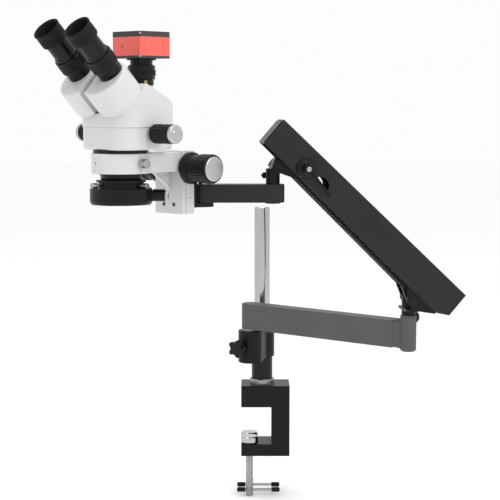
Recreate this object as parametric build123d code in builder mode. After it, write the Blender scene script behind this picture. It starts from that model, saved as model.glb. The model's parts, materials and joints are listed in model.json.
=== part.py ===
"""Trinocular stereo microscope on an articulated spring arm with a bench clamp.

Millimetres, +Z up. The origin is where the post's axis meets the underside of the clamp's upper jaw,
which is the bench top. +X runs towards the clamp's spine, and +Y away from the microscope.
The microscope head stands in its own turned frame: s to its side, b to its back, z up.
The spring arm has its own inclined frame: u from the lower pin to the upper pin, w square to it.
"""
import math
import os

from build123d import *

os.makedirs("parts", exist_ok=True)

# ---- driving dimensions ----------------------------------------------------------------------------

RUN = 0.05                       # radial clearance of a turning or sliding fit
GAP = 0.3                        # clearance between faces that pass each other

# bench clamp
JAW_LEFT = -34.0
SPINE_INNER = 15.2
SPINE_OUTER = 44.5
CLAMP_WIDTH = 60.0
UPPER_JAW = 35.0
THROAT = 61.0
LOWER_JAW = 19.5
SCREW_X = -20.5
SCREW_Y = 15.5
SCREW_R = 6.0
SCREW_END = -149.0
PAD_R = 14.2
PAD_TOP = -49.7
PAD_HEIGHT = 10.0
TIP_R = 4.0
BAR_Z = -139.5
BAR_R = 2.0
BAR_CENTRE_X = -6.0
BAR_LENGTH = 70.0
BAR_CAP_R = 3.9
BAR_CAP_LENGTH = 13.5

# post, its collar and the sleeve that carries the bracket
POST_R = 12.5
POST_TOP = 323.4
POST_SOCKET = 30.0
COLLAR_R = 20.0
COLLAR_TOP = UPPER_JAW + 8.5
SLEEVE_R = 17.0
BRACKET_BOTTOM = 80.0
BRACKET_TOP = 131.5
BRACKET_R = 20.0
BRACKET_WEB = 27.0

# lower arm
PIVOT = (-18.7, -56.1)
LOWER_ARM_YAW = -38.4
LOWER_ARM_REACH = 294.0
LOWER_ARM_Z = 133.8
LOWER_ARM_HEIGHT = 40.8
LOWER_ARM_WIDTH = 28.0
PIVOT_PIN_R = 8.0
STAR_KNOB_Z = 106.0
STAR_KNOB_YAW = 233.0
BOSS_R = 11.9
BOSS_BOTTOM = 129.5
BOSS_TOP = 183.0
LOCK_KNOB_Z = 175.5
LOCK_KNOB_YAW = 72.0

# spring arm: pins, cover and links
ARM_YAW = 188.0
ARM_PITCH = 45.0
ARM_PIN_Z = 204.0
LOWER_SETBACK = 2.2
UPPER_SETBACK = 5.0
ARM_REACH = 280.0
LINK_OFFSET = 42.0
SHAFT_R = 10.0
JOURNAL_R = 8.0
PIN_R = 4.0
YOKE_HALF = 22.5
YOKE_PLATE = 4.0
TONGUE_HALF = 11.5
LINK_HALF = 6.0
LINK_R = 6.0
COVER_HALF = 26.5
COVER_WALL = 3.5
COVER_ROOF = 3.0
COVER_RIGHT = -50.0
COVER_LEFT = ARM_REACH + 41.0
COVER_TOP_LEFT = 51.6
COVER_TOP_RIGHT = 60.8
COVER_LOW_LEFT = 8.3
COVER_LOW_RIGHT = 11.0

# short arm
SHORT_ARM_R = 15.5
SHORT_ARM_BOTTOM = 350.0
SHORT_ARM_TOP = 375.7
SHORT_ARM_REACH = 98.3
SHORT_ARM_CORNER = 8.6
SWIVEL_BOLT_R = 6.0

# microscope head frame
HEAD_X = -196.0
HEAD_Y = -352.0
HEAD_YAW = -43.0

# focus slide
BLOCK_HALF = 28.0
BLOCK_BOTTOM = 335.5
BLOCK_TOP = 424.0
CARRIAGE_FRONT = 90.0
CARRIAGE_BACK = 97.2
BASE_FRONT = 98.0
BASE_BACK = 113.5
DOVETAIL_BACK = 101.0
RACK_FLOOR = 96.6
RACK_BACK = 98.9
KNOB_B = 104.2
KNOB_Z = 400.0
PINION_R = 5.0
PINION_SHAFT_R = 2.5
KNOB_R = 20.4
KNOB_CAP_R = 17.4
KNOB_END = 77.8

# ring holder and body
RING_R = 40.5
NECK_R = 38.0
RING_BOTTOM = 396.0
RING_TOP = 423.2
BODY_BOTTOM = 428.0
BODY_SEAM = 458.6
BODY_SIDE = 102.0
UPPER_WIDTH = 106.0
UPPER_FRONT = -38.0
UPPER_BACK = 64.5
BODY_CORNER = 28.0
BODY_B = 13.0
SHOULDER_Z = 479.0
REAR_SHOULDER_Z = 485.0
RIDGE_Z = 517.0
ZOOM_B = 13.0
ZOOM_Z = 450.0
ZOOM_KNOB_R = 13.2
ZOOM_KNOB_END = 96.0

# eyepieces
PRISM_S = 24.0
PRISM_B = -22.0
PRISM_Z = 495.5
PRISM_HEIGHT = 40.4
PRISM_R = 33.0
PRISM_FLAT = 19.0
EYE_S = 31.0
EYE_TILT = 45.0
EYE_OFFSET = 9.5

# ring light
LIGHT_R = 42.7
LIGHT_BORE = 25.5
LIGHT_BOTTOM = 353.7
LIGHT_TOP = 375.4
SOCKET_R = 2.75

# photo port and camera
PORT_B = 39.5
PORT_R = 16.2
PORT_Z = 515.4
CAMERA_SIDE = 57.0
CAMERA_BOTTOM = 551.8
CAMERA_TOP = 588.0

# ---- frames ----------------------------------------------------------------------------------------


def heading(yaw):
    """Horizontal unit vector at this angle from +X."""
    return Vector(math.cos(math.radians(yaw)), math.sin(math.radians(yaw)), 0)


HEAD = Plane(origin=(HEAD_X, HEAD_Y, 0), x_dir=heading(HEAD_YAW), z_dir=(0, 0, 1))
HEAD_SIDE = HEAD.x_dir
HEAD_REAR = HEAD.y_dir


def head_point(s, b, z):
    """A point given in the head's own frame."""
    return HEAD.origin + HEAD_SIDE * s + HEAD_REAR * b + Vector(0, 0, z)


def level(x, y, z, yaw=0.0):
    """Horizontal plane through a point, its x axis turned by yaw."""
    return Plane(origin=(x, y, z), x_dir=heading(yaw), z_dir=(0, 0, 1))


def head_level(z, s=0.0, b=0.0):
    """Horizontal plane in the head's frame."""
    return Plane(origin=head_point(s, b, z), x_dir=HEAD_SIDE, z_dir=(0, 0, 1))


def side_plane(s, b, z, sign=1):
    """Plane whose normal points to the head's side."""
    return Plane(origin=head_point(s, b, z), x_dir=HEAD_REAR, z_dir=HEAD_SIDE * sign)


def pointing(origin, direction):
    """Plane at origin whose normal is a horizontal direction, with its y axis up."""
    return Plane(origin=origin, x_dir=Vector(0, 0, 1).cross(direction), z_dir=direction)


boss_x = PIVOT[0] + LOWER_ARM_REACH * heading(LOWER_ARM_YAW).X
boss_y = PIVOT[1] + LOWER_ARM_REACH * heading(LOWER_ARM_YAW).Y
arm_out = heading(ARM_YAW)
arm_side = Vector(0, 0, 1).cross(arm_out)
lower_pin = Vector(boss_x, boss_y, ARM_PIN_Z) - arm_out * LOWER_SETBACK
reach_run = ARM_REACH * math.cos(math.radians(ARM_PITCH))
reach_rise = ARM_REACH * math.sin(math.radians(ARM_PITCH))
upper_pin = lower_pin + arm_out * reach_run + Vector(0, 0, reach_rise)
arm_u = (upper_pin - lower_pin).normalized()
arm_w = arm_side.cross(arm_u) * -1
ARM = Plane(origin=lower_pin, x_dir=arm_u, z_dir=arm_u.cross(arm_w))
link_shift = arm_w * LINK_OFFSET
wrist = upper_pin + arm_out * UPPER_SETBACK


def eye_plane(s, offset=0.0):
    """Plane square to an eyepiece: x to the side, y up its sloping face, z along its axis."""
    tilt = math.radians(EYE_TILT)
    axis = HEAD_REAR * -math.sin(tilt) + Vector(0, 0, math.cos(tilt))
    uphill = HEAD_REAR * math.cos(tilt) + Vector(0, 0, math.sin(tilt))
    seat = head_point(s, PRISM_B, PRISM_Z) + uphill * offset
    return Plane(origin=seat, x_dir=HEAD_SIDE, z_dir=axis)


# ---- shapes used by many pieces ----------------------------------------------------------------------


def rod(plane, radius, start, end, mode=Mode.ADD):
    """Round bar along the plane's normal."""
    with BuildSketch(plane.offset(start)) as section:
        Circle(radius)
    extrude(section.sketch, amount=end - start, mode=mode)


def slab(plane, length, width, start, end, corner=0.0, mode=Mode.ADD):
    """Rectangular block centred on the plane's origin, its upright edges rounded."""
    with BuildSketch(plane.offset(start)) as section:
        if corner > 0:
            RectangleRounded(length, width, corner)
        else:
            Rectangle(length, width)
    extrude(section.sketch, amount=end - start, mode=mode)


def plate(plane, outline, start, end, mode=Mode.ADD):
    """Flat plate of a straight-sided outline."""
    with BuildSketch(plane.offset(start)) as section:
        with BuildLine():
            Polyline(*outline, close=True)
        make_face()
    extrude(section.sketch, amount=end - start, mode=mode)


def strap(plane, stations, start, end, mode=Mode.ADD):
    """Flat plate whose outline wraps round circles given as (x, y, radius)."""
    with BuildSketch(plane.offset(start)) as section:
        for x, y, radius in stations:
            with Locations((x, y)):
                Circle(radius)
        make_hull()
    extrude(section.sketch, amount=end - start, mode=mode)


def turned(plane, profile, mode=Mode.ADD):
    """Body of revolution about the plane's normal, from (radius, height) points."""
    side = Plane(origin=plane.origin, x_dir=plane.x_dir, z_dir=plane.y_dir * -1)
    with BuildSketch(side) as outline:
        with BuildLine():
            Polyline(*profile, close=True)
        make_face()
    revolve(outline.sketch, axis=Axis(plane.origin, plane.z_dir), mode=mode)


# ---- bench clamp -------------------------------------------------------------------------------------

jaw_bottom = -THROAT - LOWER_JAW

with BuildPart() as clamp_body:
    outline = [
        (JAW_LEFT, UPPER_JAW),
        (SPINE_OUTER, UPPER_JAW),
        (SPINE_OUTER, jaw_bottom),
        (JAW_LEFT, jaw_bottom),
        (JAW_LEFT, -THROAT),
        (SPINE_INNER, -THROAT),
        (SPINE_INNER, 0),
        (JAW_LEFT, 0),
    ]
    plate(Plane.XZ, outline, -CLAMP_WIDTH / 2, CLAMP_WIDTH / 2)
    fillet(clamp_body.edges(), 1.2)
    rod(Plane.XY, POST_R, UPPER_JAW - POST_SOCKET, UPPER_JAW, Mode.SUBTRACT)
    for side in (-1, 1):
        rod(level(SCREW_X, side * SCREW_Y, 0), SCREW_R + RUN, jaw_bottom, -THROAT, Mode.SUBTRACT)
clamp_body.part.label = "clamp_body"
export_step(clamp_body.part, "parts/clamp_body.step")

pad_bottom = PAD_TOP - PAD_HEIGHT
tip_top = pad_bottom + 5.0

for name, side in (("front", -1), ("rear", 1)):
    screw_level = level(SCREW_X, side * SCREW_Y, 0)
    with BuildPart() as clamp_screw:
        turned(screw_level, [
            (0, SCREW_END),
            (SCREW_R - 1.2, SCREW_END),
            (SCREW_R, SCREW_END + 1.2),
            (SCREW_R, pad_bottom - GAP),
            (TIP_R, pad_bottom - GAP),
            (TIP_R, tip_top),
            (0, tip_top),
        ])
        cross_hole = Plane(origin=(SCREW_X, side * SCREW_Y, BAR_Z), x_dir=(0, 1, 0), z_dir=(1, 0, 0))
        rod(cross_hole, BAR_R + RUN, -2 * SCREW_R, 2 * SCREW_R, Mode.SUBTRACT)
    clamp_screw.part.label = f"clamp_screw_{name}"
    export_step(clamp_screw.part, f"parts/clamp_screw_{name}.step")

    with BuildPart() as clamp_pad:
        turned(screw_level, [
            (TIP_R + RUN, pad_bottom),
            (PAD_R - 0.8, pad_bottom),
            (PAD_R, pad_bottom + 0.8),
            (PAD_R, PAD_TOP - 1.6),
            (PAD_R - 1.6, PAD_TOP),
            (0, PAD_TOP),
            (0, tip_top + GAP),
            (TIP_R + RUN, tip_top + GAP),
        ])
    clamp_pad.part.label = f"clamp_pad_{name}"
    export_step(clamp_pad.part, f"parts/clamp_pad_{name}.step")

    with BuildPart() as tommy_bar:
        middle = Plane(origin=(BAR_CENTRE_X, side * SCREW_Y, BAR_Z), x_dir=(0, 1, 0), z_dir=(1, 0, 0))
        rod(middle, BAR_R, 1.0 - BAR_LENGTH / 2, BAR_LENGTH / 2 - 1.0)
        cap_inner = BAR_LENGTH / 2 - BAR_CAP_LENGTH
        for outward in (-1, 1):
            end = Plane(origin=middle.origin, x_dir=(0, 1, 0), z_dir=(outward, 0, 0))
            turned(end, [
                (BAR_R + RUN, cap_inner),
                (BAR_CAP_R, cap_inner),
                (BAR_CAP_R, BAR_LENGTH / 2 - 2.0),
                (BAR_CAP_R - 1.8, BAR_LENGTH / 2),
                (0, BAR_LENGTH / 2),
                (0, BAR_LENGTH / 2 - 0.9),
                (BAR_R + RUN, BAR_LENGTH / 2 - 0.9),
            ])
    tommy_bar.part.label = f"tommy_bar_{name}"
    export_step(tommy_bar.part, f"parts/tommy_bar_{name}.step")

# ---- post --------------------------------------------------------------------------------------------

with BuildPart() as post:
    rod(Plane.XY, POST_R, UPPER_JAW - POST_SOCKET, POST_TOP)
    chamfer(post.edges().sort_by(Axis.Z)[-1], 1.2)
post.part.label = "post"
export_step(post.part, "parts/post.step")

with BuildPart() as post_collar:
    turned(Plane.XY, [
        (POST_R, UPPER_JAW),
        (COLLAR_R, UPPER_JAW),
        (COLLAR_R, COLLAR_TOP - 0.8),
        (COLLAR_R - 0.8, COLLAR_TOP),
        (POST_R, COLLAR_TOP),
    ])
    screw_way = pointing((0, 0, (UPPER_JAW + COLLAR_TOP) / 2), heading(-37))
    rod(screw_way, 2.5, POST_R, COLLAR_R, Mode.SUBTRACT)
    rod(screw_way, 2.5 - RUN, POST_R + RUN, COLLAR_R - 0.6)
post_collar.part.label = "post_collar"
export_step(post_collar.part, "parts/post_collar.step")

with BuildPart() as stop_sleeve:
    turned(Plane.XY, [
        (POST_R + RUN, COLLAR_TOP),
        (SLEEVE_R - 0.6, COLLAR_TOP),
        (SLEEVE_R, COLLAR_TOP + 0.6),
        (SLEEVE_R, BRACKET_BOTTOM),
        (POST_R + RUN, BRACKET_BOTTOM),
    ])
stop_sleeve.part.label = "stop_sleeve"
export_step(stop_sleeve.part, "parts/stop_sleeve.step")

with BuildPart() as post_bracket:
    for x, y, radius in ((0, 0, BRACKET_R), (*PIVOT, BRACKET_R - 0.5)):
        rod(level(x, y, 0), radius, BRACKET_BOTTOM, BRACKET_TOP)
    strap(Plane.XY, [(0, 0, BRACKET_WEB / 2), (*PIVOT, BRACKET_WEB / 2)], BRACKET_BOTTOM, BRACKET_TOP)
    chamfer(post_bracket.edges().group_by(Axis.Z)[0], 1.0)
    chamfer(post_bracket.edges().group_by(Axis.Z)[-1], 1.0)
    rod(Plane.XY, POST_R + RUN, BRACKET_BOTTOM, BRACKET_TOP, Mode.SUBTRACT)
    rod(level(*PIVOT, 0), PIVOT_PIN_R + RUN, BRACKET_BOTTOM, BRACKET_TOP, Mode.SUBTRACT)
    knob_way = pointing((*PIVOT, STAR_KNOB_Z), heading(STAR_KNOB_YAW))
    rod(knob_way, 4 + RUN, 0, BRACKET_R + 2, Mode.SUBTRACT)
post_bracket.part.label = "post_bracket"
export_step(post_bracket.part, "parts/post_bracket.step")

with BuildPart() as star_knob:
    rod(knob_way, 4.0, PIVOT_PIN_R + GAP, 32)
    with BuildSketch(knob_way.offset(BRACKET_R + 0.8)) as nut:
        RegularPolygon(radius=7.5, side_count=6)
    extrude(nut.sketch, amount=5.5)
    with BuildSketch(knob_way.offset(31)) as lobes:
        Circle(11.0)
        with PolarLocations(10.2, 5):
            Circle(4.4)
    extrude(lobes.sketch, amount=11)
    fillet(star_knob.faces().sort_by(Axis(knob_way.origin, knob_way.z_dir))[-1].edges(), 1.4)
star_knob.part.label = "star_knob"
export_step(star_knob.part, "parts/star_knob.step")

# ---- lower arm ---------------------------------------------------------------------------------------

arm_level = level(*PIVOT, 0, LOWER_ARM_YAW)
half_width = LOWER_ARM_WIDTH / 2
tube_end = LOWER_ARM_REACH - 19.0
boss_level = level(boss_x, boss_y, 0, LOWER_ARM_YAW)

with BuildPart() as lower_arm:
    with BuildSketch(arm_level.offset(LOWER_ARM_Z)) as footprint:
        Circle(half_width)
        with Locations((tube_end / 2, 0)):
            Rectangle(tube_end, LOWER_ARM_WIDTH)
    extrude(footprint.sketch, amount=LOWER_ARM_HEIGHT)
    fillet(lower_arm.edges().group_by(Axis.Z)[-1], 2.0)
    fillet(lower_arm.edges().group_by(Axis.Z)[0], 2.0)
    arm_middle = LOWER_ARM_Z + LOWER_ARM_HEIGHT / 2
    web_start = Plane(
        origin=arm_level.origin + arm_level.x_dir * tube_end + Vector(0, 0, arm_middle),
        x_dir=arm_level.y_dir,
        z_dir=arm_level.x_dir,
    )
    with BuildSketch(web_start) as tube_section:
        RectangleRounded(LOWER_ARM_WIDTH - 2.0, LOWER_ARM_HEIGHT - 2.0, 4.0)
    with BuildSketch(web_start.offset(LOWER_ARM_REACH - tube_end - 5.0)) as boss_section:
        RectangleRounded(17.0, LOWER_ARM_HEIGHT + 4.0, 5.0)
    loft([tube_section.sketch, boss_section.sketch])
    turned(boss_level, [
        (0, BOSS_BOTTOM),
        (BOSS_R - 2.5, BOSS_BOTTOM),
        (BOSS_R, BOSS_BOTTOM + 2.5),
        (BOSS_R, BOSS_TOP - 0.8),
        (BOSS_R - 0.8, BOSS_TOP),
        (0, BOSS_TOP),
    ])
    rod(boss_level, JOURNAL_R + RUN, BOSS_BOTTOM + 6, BOSS_TOP, Mode.SUBTRACT)
    lock_way = pointing((boss_x, boss_y, LOCK_KNOB_Z), heading(LOCK_KNOB_YAW))
    rod(lock_way, 3 + RUN, 0, BOSS_R + 2, Mode.SUBTRACT)
    rod(arm_level, PIVOT_PIN_R, LOWER_ARM_Z, LOWER_ARM_Z + 25, Mode.SUBTRACT)
lower_arm.part.label = "lower_arm"
export_step(lower_arm.part, "parts/lower_arm.step")

with BuildPart() as arm_pivot_pin:
    rod(arm_level, PIVOT_PIN_R, BRACKET_BOTTOM, LOWER_ARM_Z + 25)
    rod(arm_level, 13.0, BRACKET_TOP + RUN, LOWER_ARM_Z)
arm_pivot_pin.part.label = "arm_pivot_pin"
export_step(arm_pivot_pin.part, "parts/arm_pivot_pin.step")

with BuildPart() as arm_lock_knob:
    rod(lock_way, 3.0, JOURNAL_R + GAP, 23)
    with BuildSketch(lock_way.offset(22)) as grip:
        Circle(10.0)
        with PolarLocations(9.8, 20):
            Circle(0.7)
    extrude(grip.sketch, amount=12)
arm_lock_knob.part.label = "arm_lock_knob"
export_step(arm_lock_knob.part, "parts/arm_lock_knob.step")

# ---- yokes at both ends of the spring arm ------------------------------------------------------------

# x of these planes runs to the right along the arm's upright plane, y up
YOKE_LOW = Plane(origin=lower_pin, x_dir=arm_out * -1, z_dir=arm_side)
YOKE_HIGH = Plane(origin=upper_pin, x_dir=arm_out * -1, z_dir=arm_side)
link_pin_xy = LINK_OFFSET * math.sin(math.radians(ARM_PITCH))
plate_inner = YOKE_HALF - YOKE_PLATE
bar_inner = SHAFT_R + 2.0
bar_outer = plate_inner - 1.0
plate_spans = ((-YOKE_HALF, -plate_inner), (plate_inner, YOKE_HALF))

link_hole = Plane(origin=lower_pin + link_shift, x_dir=YOKE_LOW.x_dir, z_dir=YOKE_LOW.z_dir)
yoke_outline = [(-10, 25), (-10, 2), (-4, -8), (4, -12.5), (31, -17), (36, -13), (37, 31), (34, 35.5),
                (27, 37)]

with BuildPart() as lower_yoke:
    for start, end in plate_spans:
        plate(YOKE_LOW, yoke_outline, start, end)
    slab(level(boss_x, boss_y, 0, ARM_YAW), 19, 2 * YOKE_HALF, ARM_PIN_Z - 13.5, ARM_PIN_Z - 9.5)
    rod(boss_level, SHAFT_R, BOSS_TOP + GAP, ARM_PIN_Z + 9)
    rod(boss_level, JOURNAL_R, BOSS_BOTTOM + 8, BOSS_TOP + GAP)
    rod(YOKE_LOW, PIN_R, -YOKE_HALF, YOKE_HALF, Mode.SUBTRACT)
    rod(link_hole, PIN_R, -YOKE_HALF, YOKE_HALF, Mode.SUBTRACT)
lower_yoke.part.label = "lower_yoke"
export_step(lower_yoke.part, "parts/lower_yoke.step")

with BuildPart() as lower_yoke_pins:
    rod(YOKE_LOW, PIN_R, -YOKE_HALF, YOKE_HALF)
    rod(link_hole, PIN_R, -YOKE_HALF, YOKE_HALF)
lower_yoke_pins.part.label = "lower_yoke_pins"
export_step(lower_yoke_pins.part, "parts/lower_yoke_pins.step")

high_level = level(wrist.X, wrist.Y, 0)
high_link_hole = Plane(origin=upper_pin + link_shift, x_dir=YOKE_HIGH.x_dir, z_dir=YOKE_HIGH.z_dir)
link_slot = Plane(origin=high_link_hole.origin, x_dir=arm_u, z_dir=YOKE_HIGH.z_dir)
lock_screw_way = pointing(wrist - Vector(0, 0, 14.0), heading(150))

with BuildPart() as head_yoke:
    strap(YOKE_HIGH, [(-3, -8, 7), (2, 4, 8), (link_pin_xy, link_pin_xy, 6.0)], -TONGUE_HALF, TONGUE_HALF)
    rod(high_level, SHAFT_R, SHORT_ARM_TOP + GAP, upper_pin.Z - 4)
    rod(high_level, JOURNAL_R, SHORT_ARM_BOTTOM - GAP, SHORT_ARM_TOP + GAP)
    rod(high_level, 11.0, SHORT_ARM_BOTTOM - GAP - 1.4, SHORT_ARM_BOTTOM - GAP)
    slab(link_slot, 40, 19.5, -LINK_HALF - 0.5, LINK_HALF + 0.5, mode=Mode.SUBTRACT)
    rod(YOKE_HIGH, PIN_R, -YOKE_HALF, YOKE_HALF, Mode.SUBTRACT)
    rod(high_link_hole, PIN_R, -YOKE_HALF, YOKE_HALF, Mode.SUBTRACT)
    rod(lock_screw_way, 2.5, SHAFT_R - 5, SHAFT_R + 4, Mode.SUBTRACT)
head_yoke.part.label = "head_yoke"
export_step(head_yoke.part, "parts/head_yoke.step")

with BuildPart() as head_yoke_fittings:
    rod(YOKE_HIGH, PIN_R, -bar_outer - 1.0, bar_outer + 1.0)
    rod(YOKE_HIGH, PIN_R + 0.9, bar_outer + 0.3, bar_outer + 1.8)
    with BuildSketch(YOKE_HIGH.offset(-bar_outer - 5.3)) as nut:
        RegularPolygon(radius=9.0, side_count=6)
    extrude(nut.sketch, amount=5.0)
    rod(high_link_hole, PIN_R, -TONGUE_HALF, TONGUE_HALF)
    turned(lock_screw_way, [
        (0, SHAFT_R - 4.5),
        (2.5, SHAFT_R - 4.5),
        (2.5, SHAFT_R + 2.0),
        (4.5, SHAFT_R + 2.0),
        (4.5, SHAFT_R + 5.0),
        (2.2, SHAFT_R + 8.0),
        (0, SHAFT_R + 8.0),
    ])
head_yoke_fittings.part.label = "head_yoke_fittings"
export_step(head_yoke_fittings.part, "parts/head_yoke_fittings.step")

# ---- spring arm --------------------------------------------------------------------------------------

cover_outline = [
    (COVER_LEFT - 3.0, COVER_LOW_LEFT),
    (COVER_LEFT, COVER_TOP_LEFT),
    (COVER_RIGHT + 3.0, COVER_TOP_RIGHT),
    (COVER_RIGHT, 23.0),
    (COVER_RIGHT + 16.0, COVER_LOW_RIGHT + 1.5),
    (COVER_RIGHT + 30.0, COVER_LOW_RIGHT),
]
channel = [
    (COVER_LEFT + 20.0, -30.0),
    (COVER_LEFT + 20.0, COVER_TOP_LEFT - COVER_ROOF - 0.5),
    (COVER_RIGHT - 20.0, COVER_TOP_RIGHT - COVER_ROOF + 0.5),
    (COVER_RIGHT - 20.0, -30.0),
]
WINDOW_U = 218.3
WINDOW_W = 21.7
WINDOW_R = 13.3
WINDOW_TILT = 12.0

with BuildPart() as spring_arm_cover:
    plate(ARM, cover_outline, -COVER_HALF, COVER_HALF)
    long_edges = spring_arm_cover.edges().filter_by(lambda edge: edge.length > ARM_REACH).sort_by(Axis.Z)
    chamfer(long_edges[:2], 2.8)
    fillet(long_edges[2:], 1.5)
    inner_half = COVER_HALF - COVER_WALL
    plate(ARM, channel, -inner_half, inner_half, Mode.SUBTRACT)
    with BuildSketch(ARM.offset(-COVER_HALF - 1)) as window:
        with Locations((WINDOW_U, WINDOW_W)):
            Circle(WINDOW_R)
        with Locations(Location((WINDOW_U, WINDOW_W + 3.0, 0), (0, 0, WINDOW_TILT))):
            Rectangle(60, 60, align=(Align.CENTER, Align.MAX), mode=Mode.SUBTRACT)
    extrude(window.sketch, amount=2 * COVER_HALF + 2, mode=Mode.SUBTRACT)
spring_arm_cover.part.label = "spring_arm_cover"
export_step(spring_arm_cover.part, "parts/spring_arm_cover.step")

with BuildPart() as spring_arm_spar:
    for start, end in ((-bar_outer, -bar_inner), (bar_inner, bar_outer)):
        strap(ARM, [(0, 0, 7.5), (24, 8.5, 6.0)], start, end)
        strap(ARM, [(ARM_REACH, 0, 8.3), (ARM_REACH - 24, 8.5, 6.0)], start, end)
        plate(ARM, [(20, 5), (ARM_REACH - 20, 4.5), (ARM_REACH - 20, 14), (20, 14)], start, end)
    for u in (70.0, 140.0, 200.0):
        plate(ARM, [(u, 8), (u + 12, 8), (u + 12, 13), (u, 13)], -inner_half, inner_half)
    for centre in (0, ARM_REACH):
        pin_way = Plane(origin=lower_pin + arm_u * centre, x_dir=ARM.x_dir, z_dir=ARM.z_dir)
        rod(pin_way, PIN_R + RUN, -YOKE_HALF, YOKE_HALF, Mode.SUBTRACT)
spring_arm_spar.part.label = "spring_arm_spar"
export_step(spring_arm_spar.part, "parts/spring_arm_spar.step")

with BuildPart() as spring_arm_end_caps:
    left_cap = [
        (COVER_LEFT - 4.6, COVER_LOW_LEFT + 0.4),
        (COVER_LEFT - 1.7, COVER_TOP_LEFT - 3.3),
        (COVER_LEFT + 1.4, COVER_TOP_LEFT - 3.4),
        (COVER_LEFT - 1.6, COVER_LOW_LEFT + 0.4),
    ]
    right_cap = [
        (COVER_RIGHT + 4.8, COVER_TOP_RIGHT - 3.3),
        (COVER_RIGHT + 1.9, 23.8),
        (COVER_RIGHT - 1.0, 23.6),
        (COVER_RIGHT + 1.8, COVER_TOP_RIGHT - 3.2),
    ]
    plate(ARM, left_cap, -inner_half, inner_half)
    plate(ARM, right_cap, -inner_half, inner_half)
spring_arm_end_caps.part.label = "spring_arm_end_caps"
export_step(spring_arm_end_caps.part, "parts/spring_arm_end_caps.step")

with BuildPart() as balance_springs:
    for side in (-1, 1):
        spring_way = Plane(
            origin=lower_pin + arm_u * 45.0 + arm_w * 21.0 + ARM.z_dir * (side * 9.0),
            x_dir=ARM.z_dir,
            z_dir=arm_u,
        )
        turned(spring_way, [(4.6, 0), (6.6, 0), (6.6, 150), (4.6, 150)])
balance_springs.part.label = "balance_springs"
export_step(balance_springs.part, "parts/balance_springs.step")

LINK = Plane(origin=lower_pin + link_shift, x_dir=arm_u, z_dir=ARM.z_dir)
with BuildPart() as parallel_link:
    strap(LINK, [(0, 0, LINK_R), (ARM_REACH, 0, LINK_R)], -LINK_HALF, LINK_HALF)
    plate(LINK, [(14, -3), (ARM_REACH - 14, -3), (ARM_REACH - 14, -12), (14, -12)], -7, 7, Mode.SUBTRACT)
    rod(LINK, PIN_R + RUN, -7, 7, Mode.SUBTRACT)
    far_hole = Plane(origin=LINK.origin + arm_u * ARM_REACH, x_dir=LINK.x_dir, z_dir=LINK.z_dir)
    rod(far_hole, PIN_R + 0.2, -7, 7, Mode.SUBTRACT)
parallel_link.part.label = "parallel_link"
export_step(parallel_link.part, "parts/parallel_link.step")

# the near face of the cover is the one on the -Y side
near = ARM.z_dir if ARM.z_dir.Y < 0 else ARM.z_dir * -1
KNOB_U = ARM_REACH - 29.0
KNOB_W = 24.8
knob_seat = lower_pin + arm_u * KNOB_U + arm_w * KNOB_W + near * COVER_HALF
TENSION = Plane(origin=knob_seat, x_dir=arm_u, z_dir=near)
with BuildPart() as tension_knob:
    turned(TENSION, [
        (0, GAP),
        (13.2, GAP),
        (14.0, 1.6),
        (13.2, 3.4),
        (7.5, 8.0),
        (6.0, 13.5),
        (6.0, 20.0),
        (0, 20.0),
    ])
tension_knob.part.label = "tension_knob"
export_step(tension_knob.part, "parts/tension_knob.step")

LEVER_YAW = 172.6
LEVER_LENGTH = 46.0
with BuildPart() as tension_lever:
    turned(TENSION, [(0, 20.0), (5.2, 20.0), (5.2, 25.0), (4.2, 26.0), (0, 26.0)])
    lever_x = math.cos(math.radians(LEVER_YAW))
    lever_y = math.sin(math.radians(LEVER_YAW))
    lever_tip = (LEVER_LENGTH * lever_x, LEVER_LENGTH * lever_y, 2.6)
    strap(TENSION, [(0, 0, 3.4), lever_tip], 20.6, 24.0)
tension_lever.part.label = "tension_lever"
export_step(tension_lever.part, "parts/tension_lever.step")

# ---- short arm and the bracket that carries the focus slide --------------------------------------------

swivel_x = wrist.X - SHORT_ARM_REACH
swivel_y = wrist.Y
swivel_level = level(swivel_x, swivel_y, 0)

with BuildPart() as short_arm:
    inset = SHORT_ARM_R - SHORT_ARM_CORNER
    corners = [(inset + 1, inset, SHORT_ARM_CORNER), (inset + 1, -inset, SHORT_ARM_CORNER)]
    strap(high_level, [(-SHORT_ARM_REACH, 0, SHORT_ARM_R), *corners], SHORT_ARM_BOTTOM, SHORT_ARM_TOP)
    fillet(short_arm.edges().group_by(Axis.Z)[-1], 1.2)
    fillet(short_arm.edges().group_by(Axis.Z)[0], 1.2)
    rod(high_level, JOURNAL_R + RUN, SHORT_ARM_BOTTOM, SHORT_ARM_TOP, Mode.SUBTRACT)
    rod(swivel_level, SWIVEL_BOLT_R + RUN, SHORT_ARM_BOTTOM, SHORT_ARM_TOP, Mode.SUBTRACT)
short_arm.part.label = "short_arm"
export_step(short_arm.part, "parts/short_arm.step")

swivel_local = HEAD.to_local_coords(Vector(swivel_x, swivel_y, 0))
TONGUE_TOP = SHORT_ARM_BOTTOM - GAP
TONGUE_BOTTOM = TONGUE_TOP - 6.0
BACKPLATE = 5.5

with BuildPart() as mount_bracket:
    slab(
        head_level(0, 0, BASE_BACK + BACKPLATE / 2),
        2 * BLOCK_HALF,
        BACKPLATE,
        TONGUE_BOTTOM,
        BLOCK_TOP - 20,
    )
    strap(
        head_level(0),
        [
            (swivel_local.X, swivel_local.Y, 14.0),
            (-8, BASE_BACK + 2.0, 1.5),
            (BLOCK_HALF - 2, BASE_BACK + 2.0, 1.5),
        ],
        TONGUE_BOTTOM,
        TONGUE_TOP,
    )
    rod(swivel_level, SWIVEL_BOLT_R - 1, TONGUE_BOTTOM, TONGUE_TOP, Mode.SUBTRACT)
mount_bracket.part.label = "mount_bracket"
export_step(mount_bracket.part, "parts/mount_bracket.step")

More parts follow.
